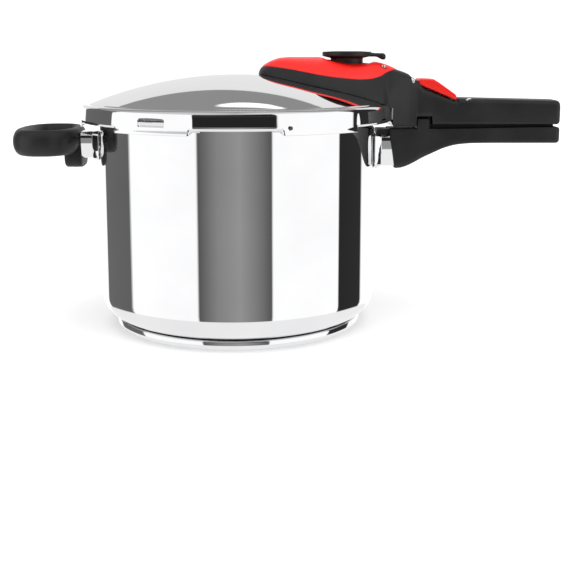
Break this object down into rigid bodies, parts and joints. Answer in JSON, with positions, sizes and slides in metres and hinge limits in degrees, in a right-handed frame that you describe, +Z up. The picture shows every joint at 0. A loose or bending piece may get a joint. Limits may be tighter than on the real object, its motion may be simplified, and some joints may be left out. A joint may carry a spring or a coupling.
{
  "type": "stovetop pressure cooker",
  "caption": "Tall polished steel pressure cooker with a domed bayonet lid, paired long handles, loop side handle, red handle cover, turning regulator and lock slider.",
  "frame": {"origin": "centre of the underside of the sandwich base, on the pot's axis", "axes": "+Z up along the pot's axis; +X towards the long handles; the side handle points along -X"},
  "size_m": [0.4404, 0.25, 0.219],
  "materials": {
    "polished_steel": "mirror polished stainless steel",
    "machined_steel": "turned stainless steel",
    "aluminium_core": "rolled aluminium",
    "black_plastic": "fine matt moulded phenolic",
    "red_plastic": "satin moulded thermoplastic",
    "silicone": "matt silicone",
    "white_print": "printed mark"
  },
  "bodies": {
    "pot": {"pot_shell": "polished_steel", "base_core": "aluminium_core", "base_cap": "polished_steel", "long_handle_bracket": "polished_steel", "long_handle_guard": "polished_steel", "pot_handle": "black_plastic", "pot_handle_screw": "machined_steel", "side_handle_bracket": "polished_steel", "side_handle_guard": "polished_steel", "side_handle": "black_plastic", "side_handle_screw": "machined_steel"},
    "lid": {"lid_shell": "polished_steel", "lid_gasket": "silicone", "stop_stud": "polished_steel", "lid_handle_bracket": "polished_steel", "lid_handle": "black_plastic", "handle_cover": "red_plastic", "lid_handle_plate": "black_plastic", "handle_plate_screws": "machined_steel", "lid_handle_screw": "machined_steel", "lid_handle_bolt": "machined_steel", "valve_stem": "machined_steel", "valve_nut": "machined_steel", "valve_seal": "silicone", "steam_screen": "machined_steel", "valve_spring": "machined_steel", "safety_valve_body": "machined_steel", "safety_valve_nut": "machined_steel", "safety_valve_seal": "silicone", "safety_valve_spring": "machined_steel", "indicator_bush": "silicone"},
    "regulator": {"regulator_knob": "black_plastic", "regulator_bush": "machined_steel"},
    "regulator_valve": {"regulator_plunger": "machined_steel"},
    "safety_valve": {"safety_plunger": "machined_steel"},
    "indicator": {"indicator_pin": "machined_steel"},
    "lock": {"lock_slider": "red_plastic"},
    "lock_bolt": {"lock_pin": "machined_steel"}
  },
  "joints": [
    {"name": "lid_turn", "type": "hinge", "parent": "pot", "child": "lid", "pos_m": [0, 0, 0.177], "axis": [0, 0, 1], "range_deg": [0, 30]},
    {"name": "regulator_turn", "type": "hinge", "parent": "lid", "child": "regulator", "pos_m": [0.0885, 0, 0.213], "axis": [0, 0, 1], "range_deg": [-90, 90]},
    {"name": "regulator_lift", "type": "slide", "parent": "lid", "child": "regulator_valve", "axis": [0, 0, 1], "range_m": [0, 0.0015], "stiffness_N_per_m": 1200},
    {"name": "safety_lift", "type": "slide", "parent": "lid", "child": "safety_valve", "axis": [0, 0, 1], "range_m": [0, 0.0015], "stiffness_N_per_m": 1600},
    {"name": "indicator_lift", "type": "slide", "parent": "lid", "child": "indicator", "axis": [0, 0, 1], "range_m": [0, 0.003]},
    {"name": "lock_slide", "type": "slide", "parent": "lid", "child": "lock", "axis": [-0.8944, 0, 0.4472], "range_m": [0, 0.0045]},
    {"name": "lock_drop", "type": "slide", "parent": "lid", "child": "lock_bolt", "axis": [0, 0, -1], "range_m": [0, 0.00675]}
  ],
  "couplings": [
    {"joint": "lock_drop", "follows": "lock_slide", "ratio": 1.5}
  ]
}
